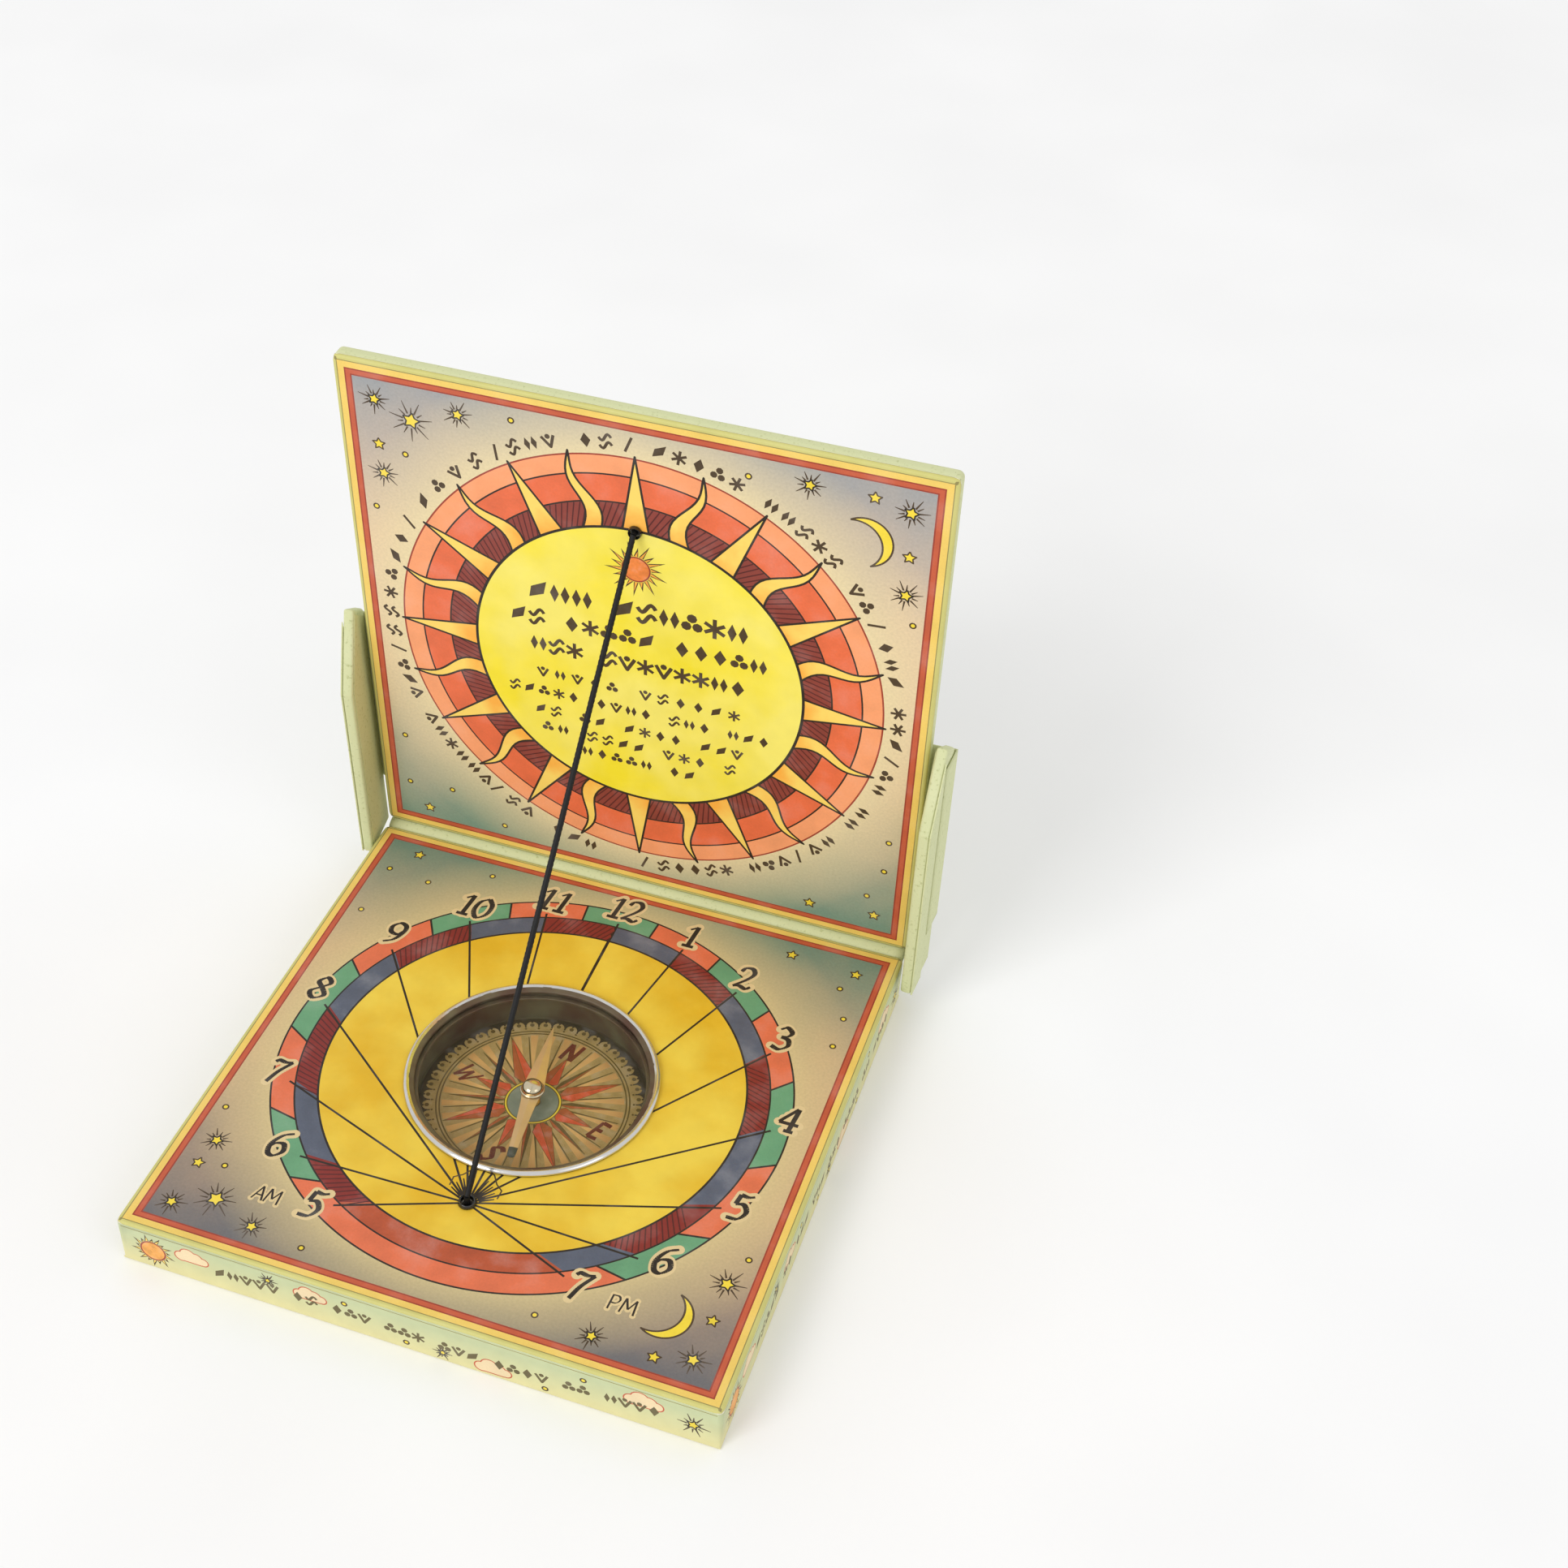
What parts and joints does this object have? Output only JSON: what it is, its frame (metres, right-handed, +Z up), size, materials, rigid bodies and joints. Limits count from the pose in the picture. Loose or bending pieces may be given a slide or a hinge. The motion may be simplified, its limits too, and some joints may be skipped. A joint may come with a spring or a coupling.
{
  "type": "pocket sundial",
  "caption": "Square board pocket sundial with a printed dial, a glazed compass sunk in it, a hinged printed lid, side flaps and a taut cord as gnomon.",
  "frame": {"origin": "centre of the square box's underside, where it rests", "axes": "+Z up, +Y towards the lid hinge (the 12 o'clock side of the dial), +X to the right of someone reading the dial"},
  "size_m": [0.096, 0.0932, 0.0981],
  "materials": {
    "plain_paper": "uncoated",
    "grey_board": "uncoated board",
    "filler": "layered filler board",
    "dial_print": "printed, satin",
    "side_print": "printed, satin",
    "lid_print": "printed, satin",
    "green_paper": "printed, satin",
    "dark_metal": "dark lacquer",
    "compass_card": "aged print",
    "brass": "polished",
    "clear_glass": "clear",
    "chrome_rim": "polished",
    "needle_steel": "fine brushed",
    "black_enamel": "gloss",
    "black_cord": "waxed twist"
  },
  "bodies": {
    "box": {"bottom_sheet": "plain_paper", "floor_board": "grey_board", "wall_frame": "grey_board", "filler_block": "filler", "dial_board": "grey_board", "dial_print": "dial_print", "side_wrap": "side_print", "compass_case": "dark_metal", "compass_card": "compass_card", "glass_ring": "brass", "compass_glass": "clear_glass", "compass_rim": "chrome_rim", "pivot_pin": "brass", "foot_eyelet": "black_enamel", "foot_knot": "black_cord", "gnomon_cord": "black_cord", "inner_hinge_strip": "green_paper", "spine_strip": "green_paper"},
    "needle": {"compass_needle": "needle_steel", "needle_hub": "brass"},
    "lid": {"lid_print": "lid_print", "lid_board": "grey_board", "lid_edge_wrap": "green_paper", "lid_cover": "green_paper", "lid_eyelet": "black_enamel", "lid_knot": "black_cord", "left_flap_hinge": "green_paper", "right_flap_hinge": "green_paper"},
    "left_flap": {"left_flap_board": "grey_board", "left_flap_cover": "green_paper"},
    "right_flap": {"right_flap_board": "grey_board", "right_flap_cover": "green_paper"}
  },
  "joints": [
    {"name": "lid_fold", "type": "hinge", "parent": "box", "child": "lid", "pos_m": [0, 0.04415, 0.00935], "axis": [1, 0, 0], "range_deg": [0, 86.7], "deforming": ["gnomon_cord", "inner_hinge_strip", "spine_strip"]},
    {"name": "left_flap_fold", "type": "hinge", "parent": "lid", "child": "left_flap", "pos_m": [-0.048, 0.04879, 0.00962], "axis": [0, 0.0576, -0.9983], "range_deg": [0, 270], "deforming": ["left_flap_hinge"]},
    {"name": "right_flap_fold", "type": "hinge", "parent": "lid", "child": "right_flap", "pos_m": [0.048, 0.04879, 0.00962], "axis": [0, -0.0576, 0.9983], "range_deg": [0, 270], "deforming": ["right_flap_hinge"]},
    {"name": "needle_spin", "type": "hinge", "parent": "box", "child": "needle", "pos_m": [-0.0004, 0.0006, 0.0055], "axis": [0, 0, 1], "continuous": true}
  ]
}
